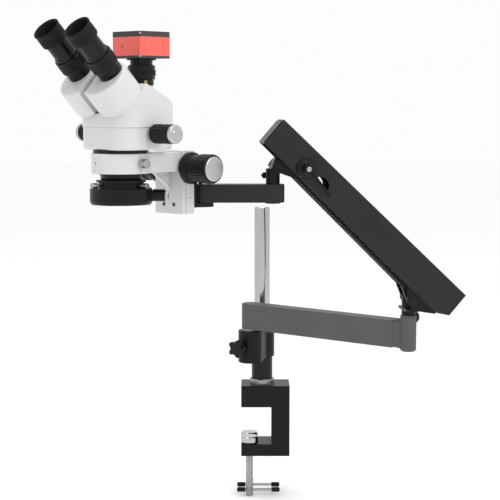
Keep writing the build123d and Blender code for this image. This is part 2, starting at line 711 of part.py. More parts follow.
with BuildPart() as swivel_bolt:
    turned(swivel_level, [
        (0, TONGUE_BOTTOM + 0.4),
        (SWIVEL_BOLT_R - 1, TONGUE_BOTTOM + 0.4),
        (SWIVEL_BOLT_R - 1, TONGUE_TOP),
        (SWIVEL_BOLT_R, TONGUE_TOP),
        (SWIVEL_BOLT_R, SHORT_ARM_TOP + GAP),
        (9.0, SHORT_ARM_TOP + GAP),
        (9.0, SHORT_ARM_TOP + 4.6),
        (8.0, SHORT_ARM_TOP + 5.4),
        (0, SHORT_ARM_TOP + 5.4),
    ])
    with BuildSketch(swivel_level.offset(SHORT_ARM_TOP + 2.6)) as socket:
        RegularPolygon(radius=3.4, side_count=6)
    extrude(socket.sketch, amount=6, mode=Mode.SUBTRACT)
swivel_bolt.part.label = "swivel_bolt"
export_step(swivel_bolt.part, "parts/swivel_bolt.step")

# ---- focus slide -------------------------------------------------------------------------------------

# dovetail outline in the head frame: narrow at the carriage, wide inside the base
DOVE_NARROW = 12.0
DOVE_WIDE = 14.2


def dovetail(clearance):
    """Outline of the dovetail, grown sideways and backwards by a clearance."""
    return [
        (-DOVE_NARROW - clearance, CARRIAGE_BACK - 0.5),
        (DOVE_NARROW + clearance, CARRIAGE_BACK - 0.5),
        (DOVE_WIDE + clearance, DOVETAIL_BACK + clearance),
        (-DOVE_WIDE - clearance, DOVETAIL_BACK + clearance),
    ]


with BuildPart() as focus_base:
    slab(
        head_level(0, 0, (BASE_FRONT + BASE_BACK) / 2),
        2 * BLOCK_HALF,
        BASE_BACK - BASE_FRONT,
        BLOCK_BOTTOM,
        BLOCK_TOP,
    )
    fillet(focus_base.edges().filter_by(Axis.Z), 1.2)
    plate(head_level(0), dovetail(0.15), BLOCK_BOTTOM, BLOCK_TOP, Mode.SUBTRACT)
    slab(head_level(0, 0, KNOB_B), 10, 11.5, KNOB_Z - 6, KNOB_Z + 6, mode=Mode.SUBTRACT)
    rod(side_plane(0, KNOB_B, KNOB_Z), PINION_SHAFT_R + RUN, -BLOCK_HALF, BLOCK_HALF, Mode.SUBTRACT)
focus_base.part.label = "focus_base"
export_step(focus_base.part, "parts/focus_base.step")

with BuildPart() as focus_carriage:
    slab(
        head_level(0, 0, (CARRIAGE_FRONT + CARRIAGE_BACK) / 2),
        2 * BLOCK_HALF,
        CARRIAGE_BACK - CARRIAGE_FRONT,
        BLOCK_BOTTOM,
        BLOCK_TOP,
    )
    fillet(focus_carriage.edges().filter_by(Axis.Z), 1.2)
    plate(head_level(0), dovetail(0), BLOCK_BOTTOM, BLOCK_TOP)
    slab(head_level(0, 0, RACK_FLOOR + 5), 9.6, 10, BLOCK_BOTTOM, BLOCK_TOP, mode=Mode.SUBTRACT)
    for s in (-10, 10):
        face = Plane(origin=head_point(s, CARRIAGE_FRONT, 348.5), x_dir=HEAD_SIDE, z_dir=HEAD_REAR)
        rod(face, 3.2, 0, 3.2, Mode.SUBTRACT)
        rod(face, 1.6, 0, CARRIAGE_BACK - CARRIAGE_FRONT, Mode.SUBTRACT)
    stop_hole = Plane(origin=head_point(0, CARRIAGE_FRONT, 380), x_dir=HEAD_SIDE, z_dir=HEAD_REAR)
    rod(stop_hole, 1.5, 0, 5, Mode.SUBTRACT)
focus_carriage.part.label = "focus_carriage"
export_step(focus_carriage.part, "parts/focus_carriage.step")

with BuildPart() as focus_rack:
    slab(head_level(0, 0, (RACK_FLOOR + RACK_BACK) / 2), 9.6, RACK_BACK - RACK_FLOOR, BLOCK_BOTTOM + 4,
         BLOCK_TOP - 4)
focus_rack.part.label = "focus_rack"
export_step(focus_rack.part, "parts/focus_rack.step")

with BuildPart() as carriage_screws:
    for s in (-10, 10):
        face = Plane(origin=head_point(s, CARRIAGE_FRONT, 348.5), x_dir=HEAD_SIDE, z_dir=HEAD_REAR)
        rod(face, 3.0, 0.6, 3.2)
        rod(face, 1.6 - RUN, 3.2, CARRIAGE_BACK - CARRIAGE_FRONT)
carriage_screws.part.label = "carriage_screws"
export_step(carriage_screws.part, "parts/carriage_screws.step")

with BuildPart() as focus_pinion:
    pinion_way = side_plane(0, KNOB_B, KNOB_Z)
    rod(pinion_way, PINION_SHAFT_R, -KNOB_END + 8, KNOB_END - 8)
    rod(pinion_way, PINION_R, -4.3, 4.3)
focus_pinion.part.label = "focus_pinion"
export_step(focus_pinion.part, "parts/focus_pinion.step")

knob_profile = [
    (PINION_SHAFT_R, BLOCK_HALF + GAP),
    (22.4, BLOCK_HALF + GAP),
    (22.4, 35.0),
    (20.0, 37.0),
    (18.4, 38.0),
    (18.4, 52.0),
    (KNOB_R, 53.5),
    (KNOB_R, KNOB_END - 4.5),
    (KNOB_R - 1.5, KNOB_END - 2.0),
    (KNOB_CAP_R, KNOB_END - 2.0),
    (KNOB_CAP_R, KNOB_END - 5.0),
    (PINION_SHAFT_R, KNOB_END - 5.0),
]

with BuildPart() as focus_knobs:
    for sign in (1, -1):
        turned(side_plane(0, KNOB_B, KNOB_Z, sign), knob_profile)
focus_knobs.part.label = "focus_knobs"
export_step(focus_knobs.part, "parts/focus_knobs.step")

with BuildPart() as focus_knob_caps:
    for sign in (1, -1):
        turned(side_plane(0, KNOB_B, KNOB_Z, sign), [
            (PINION_SHAFT_R, KNOB_END - 5.0),
            (KNOB_CAP_R, KNOB_END - 5.0),
            (KNOB_CAP_R, KNOB_END - 1.2),
            (KNOB_CAP_R - 1.2, KNOB_END),
            (0, KNOB_END),
            (0, KNOB_END - 3.0),
            (PINION_SHAFT_R, KNOB_END - 3.0),
        ])
focus_knob_caps.part.label = "focus_knob_caps"
export_step(focus_knob_caps.part, "parts/focus_knob_caps.step")

# ---- ring holder -------------------------------------------------------------------------------------

THUMB_Z = 410.0
thumb_way = side_plane(0, 0, THUMB_Z)

with BuildPart() as ring_holder:
    rod(head_level(0), RING_R, RING_BOTTOM, RING_TOP)
    arm_outline = [
        (-36.0, 10.0),
        (36.0, 10.0),
        (24.0, CARRIAGE_FRONT),
        (-24.0, CARRIAGE_FRONT),
    ]
    plate(head_level(0), arm_outline, RING_BOTTOM, RING_TOP)
    fillet(ring_holder.edges().group_by(Axis.Z)[-1], 1.5)
    gusset = Plane(origin=HEAD.origin, x_dir=HEAD_REAR, z_dir=HEAD_SIDE)
    gusset_outline = [(56, RING_BOTTOM + 1), (CARRIAGE_FRONT, RING_BOTTOM + 1), (CARRIAGE_FRONT, 368),
                      (84, 376)]
    plate(gusset, gusset_outline, -3.5, 3.5)
    rod(head_level(0), NECK_R + RUN, RING_BOTTOM, RING_TOP, Mode.SUBTRACT)
    rod(thumb_way, 3 + RUN, 0, RING_R + 2, Mode.SUBTRACT)
    front_hole = Plane(origin=head_point(-7, 0, THUMB_Z), x_dir=HEAD_SIDE, z_dir=HEAD_REAR * -1)
    rod(front_hole, 1.6, 0, RING_R + 2, Mode.SUBTRACT)
ring_holder.part.label = "ring_holder"
export_step(ring_holder.part, "parts/ring_holder.step")

with BuildPart() as holder_thumbscrew:
    rod(thumb_way, 3.0, NECK_R + GAP, 45)
    with BuildSketch(thumb_way.offset(44)) as knurl:
        Circle(6.0)
        with PolarLocations(5.9, 18):
            Circle(0.45)
    extrude(knurl.sketch, amount=9)
    rod(thumb_way, 4.2, RING_R + 1, 44)
holder_thumbscrew.part.label = "holder_thumbscrew"
export_step(holder_thumbscrew.part, "parts/holder_thumbscrew.step")

# ---- microscope body -----------------------------------------------------------------------------------

with BuildPart() as zoom_housing:
    slab(head_level(0, 0, BODY_B), BODY_SIDE, BODY_SIDE, BODY_BOTTOM, BODY_SEAM, BODY_CORNER)
    fillet(zoom_housing.edges().group_by(Axis.Z)[0], 4.0)
    fillet(zoom_housing.edges().group_by(Axis.Z)[-1], 0.8)
    rod(side_plane(0, ZOOM_B, ZOOM_Z), 4 + RUN, -BODY_SIDE / 2, BODY_SIDE / 2, Mode.SUBTRACT)
zoom_housing.part.label = "zoom_housing"
export_step(zoom_housing.part, "parts/zoom_housing.step")

with BuildPart() as head_housing:
    upper_depth = UPPER_BACK - UPPER_FRONT
    upper_b = (UPPER_BACK + UPPER_FRONT) / 2
    slab(head_level(0, 0, upper_b), UPPER_WIDTH, upper_depth, BODY_SEAM, RIDGE_Z, BODY_CORNER)
    fillet(head_housing.edges().group_by(Axis.Z)[0], 0.8)
    side_outline = [
        (UPPER_FRONT - 5, BODY_SEAM),
        (UPPER_FRONT - 5, SHOULDER_Z - 5),
        (0, RIDGE_Z),
        (UPPER_BACK + 5, REAR_SHOULDER_Z - 2.5),
        (UPPER_BACK + 5, BODY_SEAM),
    ]
    plate(Plane(origin=HEAD.origin, x_dir=HEAD_REAR, z_dir=HEAD_SIDE), side_outline, -60, 60,
          Mode.INTERSECT)
    for sign in (-1, 1):
        rod(eye_plane(sign * PRISM_S), PRISM_R - 5, -20, 0)
        rod(eye_plane(sign * PRISM_S), 15 + RUN, -10, 0, Mode.SUBTRACT)
    turned(head_level(0, 0, PORT_B), [(0, 478), (PORT_R, 478), (PORT_R, PORT_Z - 1), (PORT_R - 1, PORT_Z),
                                      (0, PORT_Z)])
head_housing.part.label = "head_housing"
export_step(head_housing.part, "parts/head_housing.step")

with BuildPart() as nosepiece:
    turned(head_level(0), [
        (22.0, 392.0),
        (22.0, 377.5),
        (24.5, 377.5),
        (24.5, 387.0),
        (27.3, 387.0),
        (29.4, 395.0),
        (29.4, RING_BOTTOM - 0.4),
        (NECK_R, RING_BOTTOM - 0.4),
        (NECK_R, BODY_BOTTOM),
        (22.0, BODY_BOTTOM),
        (22.0, 398.0),
        (20.0, 398.0),
        (20.0, 392.0),
    ])
nosepiece.part.label = "nosepiece"
export_step(nosepiece.part, "parts/nosepiece.step")

with BuildPart() as objective_lens:
    turned(head_level(0), [(0, 388.6), (12, 389.2), (22, 390.6), (22, 392.0), (0, 392.0)])
objective_lens.part.label = "objective_lens"
export_step(objective_lens.part, "parts/objective_lens.step")

with BuildPart() as zoom_knobs:
    zoom_way = side_plane(0, ZOOM_B, ZOOM_Z)
    rod(zoom_way, 4.0, -60, 60)
    for sign in (1, -1):
        zoom_side = side_plane(0, ZOOM_B, ZOOM_Z, sign)
        with BuildSketch(zoom_side.offset(UPPER_WIDTH / 2 + 1.5)) as grip:
            Circle(ZOOM_KNOB_R - 1.2)
            with PolarLocations(ZOOM_KNOB_R - 3.6, 8):
                Circle(3.6)
        extrude(grip.sketch, amount=36.0)
zoom_knobs.part.label = "zoom_knobs"
export_step(zoom_knobs.part, "parts/zoom_knobs.step")

with BuildPart() as zoom_knob_caps:
    for sign in (1, -1):
        turned(side_plane(0, ZOOM_B, ZOOM_Z, sign), [
            (0, UPPER_WIDTH / 2 + 37.5),
            (ZOOM_KNOB_R - 0.6, UPPER_WIDTH / 2 + 37.5),
            (ZOOM_KNOB_R - 0.6, ZOOM_KNOB_END - 1.2),
            (ZOOM_KNOB_R - 1.8, ZOOM_KNOB_END),
            (0, ZOOM_KNOB_END),
        ])
zoom_knob_caps.part.label = "zoom_knob_caps"
export_step(zoom_knob_caps.part, "parts/zoom_knob_caps.step")

# ---- eyepieces -----------------------------------------------------------------------------------------

PRISM_TOP = PRISM_HEIGHT + GAP
COLLAR_END = PRISM_TOP + 12.0
RING_END = COLLAR_END + 21.0
CUP_START = PRISM_TOP + 60.0
BARREL_END = CUP_START + 4.0
CUP_END = PRISM_TOP + 82.0
DIOPTER_SEAT_R = 14.0

for name, sign in (("left", 1), ("right", -1)):
    prism_plane = eye_plane(sign * PRISM_S)
    tube_plane = eye_plane(sign * EYE_S, EYE_OFFSET)

    with BuildPart() as prism_housing:
        rod(prism_plane, PRISM_R, GAP, PRISM_TOP)
        cut_plane = Plane(origin=prism_plane.origin, x_dir=prism_plane.x_dir, z_dir=prism_plane.z_dir)
        inner = -sign * (PRISM_FLAT + 20.0)
        with BuildSketch(cut_plane) as flat:
            with Locations((inner, 0)):
                Rectangle(40, 80)
        extrude(flat.sketch, amount=PRISM_TOP + 5, mode=Mode.SUBTRACT)
        top_face = prism_housing.faces().sort_by(Axis(prism_plane.origin, prism_plane.z_dir))[-1]
        fillet(top_face.edges(), 4.0)
        rod(prism_plane, 15.0, -9, GAP)
    prism_housing.part.label = f"prism_housing_{name}"
    export_step(prism_housing.part, f"parts/prism_housing_{name}.step")

    with BuildPart() as eyepiece:
        turned(tube_plane, [
            (0, PRISM_TOP),
            (17.0, PRISM_TOP),
            (17.0, COLLAR_END - 0.8),
            (16.2, COLLAR_END),
            (DIOPTER_SEAT_R, COLLAR_END),
            (DIOPTER_SEAT_R, RING_END),
            (16.6, RING_END),
            (16.6, RING_END + 4.0),
            (15.5, RING_END + 5.0),
            (15.5, BARREL_END),
            (12.0, BARREL_END),
            (12.0, BARREL_END - 3.5),
            (6, BARREL_END - 1.6),
            (0, BARREL_END - 1.0),
        ])
    eyepiece.part.label = f"eyepiece_{name}"
    export_step(eyepiece.part, f"parts/eyepiece_{name}.step")

    with BuildPart() as diopter_ring:
        with BuildSketch(tube_plane.offset(COLLAR_END + GAP)) as ribs:
            Circle(18.4)
            with PolarLocations(18.3, 30):
                Circle(0.7)
            Circle(DIOPTER_SEAT_R + RUN, mode=Mode.SUBTRACT)
        extrude(ribs.sketch, amount=RING_END - COLLAR_END - 2 * GAP)
    diopter_ring.part.label = f"diopter_ring_{name}"
    export_step(diopter_ring.part, f"parts/diopter_ring_{name}.step")

    with BuildPart() as eyecup:
        turned(tube_plane, [
            (15.5, CUP_START),
            (17.6, CUP_START),
            (18.8, CUP_START + 3.0),
            (18.3, CUP_END - 7.0),
            (19.2, CUP_END - 1.5),
            (18.4, CUP_END),
            (17.0, CUP_END - 0.6),
            (16.0, CUP_END - 7.0),
            (13.6, BARREL_END + 1.8),
            (12.0, BARREL_END + 1.4),
            (12.0, BARREL_END),
            (15.5, BARREL_END),
        ])
    eyecup.part.label = f"eyecup_{name}"
    export_step(eyecup.part, f"parts/eyecup_{name}.step")

# ---- photo port and camera -------------------------------------------------------------------------------

port_level = head_level(0, 0, PORT_B)

RING_LOW = 528.0
RING_HIGH = 536.5
RING_SEAT_R = 14.0
with BuildPart() as camera_adapter:
    turned(port_level, [
        (0, PORT_Z),
        (17.0, PORT_Z),
        (17.0, 522.6),
        (18.9, 523.6),
        (18.9, RING_LOW - GAP),
        (RING_SEAT_R, RING_LOW - GAP),
        (RING_SEAT_R, RING_HIGH + GAP),
        (18.9, RING_HIGH + GAP),
        (18.9, 542.2),
        (15.5, 543.4),
        (15.5, 549.0),
        (20.4, 549.4),
        (20.4, CAMERA_BOTTOM),
        (0, CAMERA_BOTTOM),
    ])
    set_way = pointing(port_level.origin + Vector(0, 0, 519.2), heading(-68))
    slab(set_way, 5.4, 5.0, 14, 18.8)
camera_adapter.part.label = "camera_adapter"
export_step(camera_adapter.part, "parts/camera_adapter.step")

with BuildPart() as adapter_ring:
    with BuildSketch(port_level.offset(RING_LOW)) as knurl:
        Circle(19.2)
        with PolarLocations(19.0, 32):
            Circle(0.75)
        Circle(RING_SEAT_R + RUN, mode=Mode.SUBTRACT)
    extrude(knurl.sketch, amount=RING_HIGH - RING_LOW)
adapter_ring.part.label = "adapter_ring"
export_step(adapter_ring.part, "parts/adapter_ring.step")

PLATE_LOW = CAMERA_BOTTOM + 3.2
PLATE_HIGH = CAMERA_TOP - 7.5
with BuildPart() as camera_shell:
    slab(port_level, CAMERA_SIDE, CAMERA_SIDE, PLATE_LOW, PLATE_HIGH, 3.0)
    slab(port_level, CAMERA_SIDE - 5, CAMERA_SIDE - 5, PLATE_LOW, PLATE_HIGH, mode=Mode.SUBTRACT)
camera_shell.part.label = "camera_shell"
export_step(camera_shell.part, "parts/camera_shell.step")

with BuildPart() as camera_plates:
    slab(port_level, CAMERA_SIDE, CAMERA_SIDE, CAMERA_BOTTOM, PLATE_LOW, 3.0)
    slab(port_level, CAMERA_SIDE, CAMERA_SIDE, PLATE_HIGH, CAMERA_TOP, 3.0)
camera_plates.part.label = "camera_plates"
export_step(camera_plates.part, "parts/camera_plates.step")

# ---- ring light --------------------------------------------------------------------------------------------

with BuildPart() as ring_light:
    turned(head_level(0), [
        (LIGHT_BORE, LIGHT_BOTTOM),
        (27.2, LIGHT_BOTTOM),
        (27.2, 358.0),
        (40.4, 358.0),
        (40.4, LIGHT_BOTTOM),
        (LIGHT_R - 1.6, LIGHT_BOTTOM),
        (LIGHT_R, LIGHT_BOTTOM + 4.0),
        (LIGHT_R, LIGHT_TOP - 1.0),
        (LIGHT_R - 1.0, LIGHT_TOP),
        (30.8, LIGHT_TOP),
        (30.8, 383.2),
        (34.0, 383.8),
        (34.0, 386.4),
        (LIGHT_BORE, 386.4),
    ])
    for angle in (13, -107, 133):
        screw_way = pointing(head_level(379.4).origin, heading(HEAD_YAW + angle))
        rod(screw_way, 1.5, LIGHT_BORE - 1, 32, Mode.SUBTRACT)
ring_light.part.label = "ring_light"
export_step(ring_light.part, "parts/ring_light.step")

with BuildPart() as ring_light_diffuser:
    turned(head_level(0), [(27.2, 351.4), (40.4, 351.4), (40.4, 358.0), (27.2, 358.0)])
ring_light_diffuser.part.label = "ring_light_diffuser"
export_step(ring_light_diffuser.part, "parts/ring_light_diffuser.step")

with BuildPart() as ring_light_screws:
    for angle in (13, -107, 133):
        screw_way = pointing(head_level(379.4).origin, heading(HEAD_YAW + angle))
        rod(screw_way, 1.5, 24.6, 36)
        rod(screw_way, 3.8, 35, 44.5)
ring_light_screws.part.label = "ring_light_screws"
export_step(ring_light_screws.part, "parts/ring_light_screws.step")

CONNECTOR_Z = 365.0
with BuildPart() as ring_light_socket:
    socket_way = pointing(head_level(CONNECTOR_Z).origin, heading(-4))
    rod(socket_way, 7.5, LIGHT_R - 6, 61)
    rod(socket_way, 6.4, 61, 64.5)
    rod(socket_way, SOCKET_R, 55, 64.5, Mode.SUBTRACT)
    rod(head_level(0), LIGHT_R, LIGHT_BOTTOM, LIGHT_TOP, Mode.SUBTRACT)
ring_light_socket.part.label = "ring_light_socket"
export_step(ring_light_socket.part, "parts/ring_light_socket.step")
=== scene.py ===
import json
import math

import bmesh
import bpy
from mathutils import Matrix, Vector


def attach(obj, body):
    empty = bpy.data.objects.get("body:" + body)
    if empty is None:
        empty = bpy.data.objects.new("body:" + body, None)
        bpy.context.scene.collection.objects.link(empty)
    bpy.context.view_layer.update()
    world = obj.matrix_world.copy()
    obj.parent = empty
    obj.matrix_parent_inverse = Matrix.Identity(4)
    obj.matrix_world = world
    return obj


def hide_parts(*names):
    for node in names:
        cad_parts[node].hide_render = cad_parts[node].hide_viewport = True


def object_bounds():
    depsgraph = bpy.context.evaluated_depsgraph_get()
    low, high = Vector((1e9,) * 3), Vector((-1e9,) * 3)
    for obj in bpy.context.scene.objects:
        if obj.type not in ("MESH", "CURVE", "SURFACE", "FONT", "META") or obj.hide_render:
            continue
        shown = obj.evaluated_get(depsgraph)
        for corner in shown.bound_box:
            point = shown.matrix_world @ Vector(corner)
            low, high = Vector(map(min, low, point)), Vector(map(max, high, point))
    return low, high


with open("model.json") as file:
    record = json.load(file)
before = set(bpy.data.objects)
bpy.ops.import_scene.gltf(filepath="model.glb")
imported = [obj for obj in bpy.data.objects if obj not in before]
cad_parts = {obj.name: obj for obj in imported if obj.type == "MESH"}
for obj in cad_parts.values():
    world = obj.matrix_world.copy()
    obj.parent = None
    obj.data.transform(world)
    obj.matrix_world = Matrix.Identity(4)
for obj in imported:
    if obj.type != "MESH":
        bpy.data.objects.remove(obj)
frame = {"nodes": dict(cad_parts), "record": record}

cad_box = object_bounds()
MM = 0.001
NODE_BODY = {node: body for body, nodes in frame["record"]["behaviour"]["bodies"].items()
             for node in nodes}

# ---- frames, in metres ---------------------------------------------------------------------------


def unit(yaw):
    return Vector((math.cos(math.radians(yaw)), math.sin(math.radians(yaw)), 0))


UP = Vector((0, 0, 1))
HEAD = Vector((-0.196, -0.352, 0))
HEAD_YAW = -43
SIDE = unit(HEAD_YAW)
REAR = unit(HEAD_YAW + 90)
PIVOT = Vector((-0.0187, -0.0561, 0))
BOSS = PIVOT + unit(-38.4) * 0.294
OUT = unit(188)
LOW_PIN = BOSS + UP * 0.204 - OUT * 0.0022
ARM_U = (OUT + UP).normalized()
ARM_W = (UP - OUT).normalized()
NEAR = Vector((-OUT.y, OUT.x, 0)).normalized()
EYE_AXIS = (UP - REAR).normalized()
EYE_UPHILL = (UP + REAR).normalized()
EYE_OFFSET = 0.0095
STAR_KNOB_Z = 0.106
ELBOW_KNOB_Z = 0.1755

# places on the head in millimetres; a pair is towards the rear and above the clamp
EYE_SIDE = 31
EYE_FOOT = (-22, 495.5)
FOCUS_SHAFT = (104.2, 400)
ZOOM_SHAFT = (13, 450)
PORT_REAR = 39.5
THUMB_SCREW_Z = 410
LAMP_SCREW_Z = 379.4
LAMP_SOCKET_Z = 365


def head(s, b, z):
    """Point of the head, in millimetres to its side, towards its rear and above the clamp."""
    return HEAD + SIDE * (s * MM) + REAR * (b * MM) + UP * (z * MM)


def basis(origin, axis, across=None):
    """Matrix whose z runs along axis."""
    axis = Vector(axis).normalized()
    across = Vector(across) if across else (UP.cross(axis) if abs(axis.z) < 0.9 else Vector((1, 0, 0)))
    across = (across - axis * across.dot(axis)).normalized()
    matrix = Matrix((across, axis.cross(across), axis)).transposed().to_4x4()
    matrix.translation = origin
    return matrix


def eye_basis(sign):
    return basis(head(sign * EYE_SIDE, *EYE_FOOT) + EYE_UPHILL * EYE_OFFSET, EYE_AXIS, SIDE)


# ---- meshes --------------------------------------------------------------------------------------


def finish_mesh(name, bm, matrix, body, material, replaced=(), angle=32):
    bmesh.ops.recalc_face_normals(bm, faces=bm.faces)
    mesh = bpy.data.meshes.new(name)
    bm.to_mesh(mesh)
    bm.free()
    mesh.transform(matrix)
    mesh.shade_smooth()
    mesh.set_sharp_from_angle(angle=math.radians(angle))
    obj = bpy.data.objects.new(name, mesh)
    bpy.context.scene.collection.objects.link(obj)
    mesh.materials.append(material)
    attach(obj, body)
    if replaced:
        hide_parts(*replaced)


def ring_surface(rows, seg, wave=None):
    """Closed surface of revolution from (radius, height) rows in millimetres."""
    bm = bmesh.new()
    loops = []
    for r, h in rows:
        if r < 1e-6:
            loops.append([bm.verts.new((0, 0, h * MM))])
            continue
        loop = []
        for k in range(seg):
            a = 2 * math.pi * k / seg
            rr = r + (wave(a, r, h) if wave else 0.0)
            loop.append(bm.verts.new((rr * MM * math.cos(a), rr * MM * math.sin(a), h * MM)))
        loops.append(loop)
    pairs = list(zip(loops, loops[1:]))
    if rows[0][0] > 1e-6:
        pairs.append((loops[-1], loops[0]))
    for low, high in pairs:
        for k in range(seg):
            n = (k + 1) % seg
            if len(low) == 1 and len(high) == 1:
                break
            if len(low) == 1:
                bm.faces.new((low[0], high[k], high[n]))
            elif len(high) == 1:
                bm.faces.new((low[k], low[n], high[0]))
            else:
                bm.faces.new((low[k], low[n], high[n], high[k]))
    return bm


def rows_between(r, h0, h1, step, bevel=0.5):
    """Rows at about one step from h0 to h1, with a bevelled row at each end."""
    count = max(2, int(round((h1 - h0 - 2 * bevel) / step)))
    middle = [(r, h0 + bevel + (h1 - h0 - 2 * bevel) * i / count) for i in range(count + 1)]
    return [(r - bevel, h0), *middle, (r - bevel, h1)]


def diamonds(count, depth, pitch, r_min=0.0):
    """Diamond knurl beyond a radius."""
    def wave(a, r, h):
        if r <= r_min:
            return 0.0
        u = count * a / 2 + math.pi * h / pitch
        v = count * a / 2 - math.pi * h / pitch
        return -depth * (1 - abs(math.sin(u)) * abs(math.sin(v)))
    return wave


def grooves(count, depth, low, high, r_min=0.0):
    """Broad bars with narrow grooves between them, over part of the height."""
    def wave(a, r, h):
        if r <= r_min or not low < h < high:
            return 0.0
        return -depth * (0.5 + 0.5 * math.cos(count * a)) ** 2
    return wave


def coil(radius, wire, length, turns):
    """Round wire wound along z, all in millimetres."""
    bm = bmesh.new()
    around, along = 10, int(turns * 28)
    loops = []
    for i in range(along + 1):
        t = i / along
        a = 2 * math.pi * turns * t
        centre = Vector((radius * math.cos(a), radius * math.sin(a), wire + (length - 2 * wire) * t)) * MM
        out = Vector((math.cos(a), math.sin(a), 0))
        loops.append([
            bm.verts.new(centre + (out * math.cos(b) + UP * math.sin(b)) * (wire * MM))
            for b in (2 * math.pi * k / around for k in range(around))
        ])
    for low, high in zip(loops, loops[1:]):
        for k in range(around):
            n = (k + 1) % around
            bm.faces.new((low[k], low[n], high[n], high[k]))
    bm.faces.new(loops[0])
    bm.faces.new(loops[-1])
    return bm


# ---- materials -----------------------------------------------------------------------------------


def surface(name, colour, rough, metal=0.0, coat=0.0, tone=0.06, rough_var=0.06, grain=900.0, bump=0.1,
            depth=0.0001, edge_highlight=None, edge_highlight_size=0.0006, kind="noise", cloud=14.0, gloss=0.5):
    """Procedural finish: slow tone drift, varied roughness, fine relief and, if asked, a painted highlight
    along the edges.
    """
    m = bpy.data.materials.new(name)
    m.use_nodes = True
    nodes, links = m.node_tree.nodes, m.node_tree.links
    bsdf = nodes["Principled BSDF"]
    bsdf.inputs["Metallic"].default_value = metal
    bsdf.inputs["Coat Weight"].default_value = coat
    bsdf.inputs["Coat Roughness"].default_value = 0.12
    bsdf.inputs["Specular IOR Level"].default_value = gloss
    coords = nodes.new("ShaderNodeTexCoord")
    drift = nodes.new("ShaderNodeTexNoise")
    drift.inputs["Scale"].default_value = cloud
    drift.inputs["Detail"].default_value = 4
    links.new(coords.outputs["Object"], drift.inputs["Vector"])
    ramp = nodes.new("ShaderNodeValToRGB")
    ramp.color_ramp.elements[0].position = 0.3
    ramp.color_ramp.elements[1].position = 0.7
    low = [max(0.0, c * (1 - tone)) for c in colour]
    high = [min(1.0, c * (1 + tone)) for c in colour]
    ramp.color_ramp.elements[0].color = (*low, 1)
    ramp.color_ramp.elements[1].color = (*high, 1)
    links.new(drift.outputs["Fac"], ramp.inputs["Fac"])
    colour_out = ramp.outputs["Color"]
    if kind == "spangle":
        relief = nodes.new("ShaderNodeTexVoronoi")
        relief.inputs["Scale"].default_value = grain
        relief_out = relief.outputs["Distance"]
        mix = nodes.new("ShaderNodeMix")
        mix.data_type = "RGBA"
        mix.blend_type = "OVERLAY"
        mix.inputs["Factor"].default_value = 0.25
        links.new(colour_out, mix.inputs["A"])
        links.new(relief.outputs["Color"], mix.inputs["B"])
        hsv = nodes.new("ShaderNodeHueSaturation")
        hsv.inputs["Saturation"].default_value = 0.05
        links.new(mix.outputs["Result"], hsv.inputs["Color"])
        colour_out = hsv.outputs["Color"]
    else:
        relief = nodes.new("ShaderNodeTexNoise")
        relief.inputs["Scale"].default_value = grain
        relief.inputs["Detail"].default_value = 3
        relief_out = relief.outputs["Fac"]
    links.new(coords.outputs["Object"], relief.inputs["Vector"])
    # painted highlight: edges found by the bevel normal are lightened in patches towards a lighter colour,
    # standing in for the light they catch
    if edge_highlight:
        bevel = nodes.new("ShaderNodeBevel")
        bevel.samples = 4
        bevel.inputs["Radius"].default_value = edge_highlight_size
        geometry = nodes.new("ShaderNodeNewGeometry")
        dot = nodes.new("ShaderNodeVectorMath")
        dot.operation = "DOT_PRODUCT"
        links.new(bevel.outputs["Normal"], dot.inputs[0])
        links.new(geometry.outputs["Normal"], dot.inputs[1])
        edge = nodes.new("ShaderNodeMapRange")
        edge.inputs["From Min"].default_value = 0.97
        edge.inputs["From Max"].default_value = 0.86
        links.new(dot.outputs["Value"], edge.inputs["Value"])
        highlight_patch = nodes.new("ShaderNodeMath")
        highlight_patch.operation = "MULTIPLY"
        links.new(edge.outputs["Result"], highlight_patch.inputs[0])
        links.new(drift.outputs["Fac"], highlight_patch.inputs[1])
        lit_edge_mix = nodes.new("ShaderNodeMix")
        lit_edge_mix.data_type = "RGBA"
        links.new(highlight_patch.outputs["Value"], lit_edge_mix.inputs["Factor"])
        links.new(colour_out, lit_edge_mix.inputs["A"])
        lit_edge_mix.inputs["B"].default_value = (*edge_highlight, 1)
        colour_out = lit_edge_mix.outputs["Result"]
    links.new(colour_out, bsdf.inputs["Base Color"])
    spread = nodes.new("ShaderNodeMapRange")
    spread.inputs["From Min"].default_value = 0.3
    spread.inputs["From Max"].default_value = 0.7
    spread.inputs["To Min"].default_value = max(0.02, rough - rough_var)
    spread.inputs["To Max"].default_value = min(1.0, rough + rough_var)
    links.new(relief_out, spread.inputs["Value"])
    links.new(spread.outputs["Result"], bsdf.inputs["Roughness"])
    bumps = nodes.new("ShaderNodeBump")
    bumps.inputs["Strength"].default_value = bump
    bumps.inputs["Distance"].default_value = depth
    links.new(relief_out, bumps.inputs["Height"])
    links.new(bumps.outputs["Normal"], bsdf.inputs["Normal"])
    return m
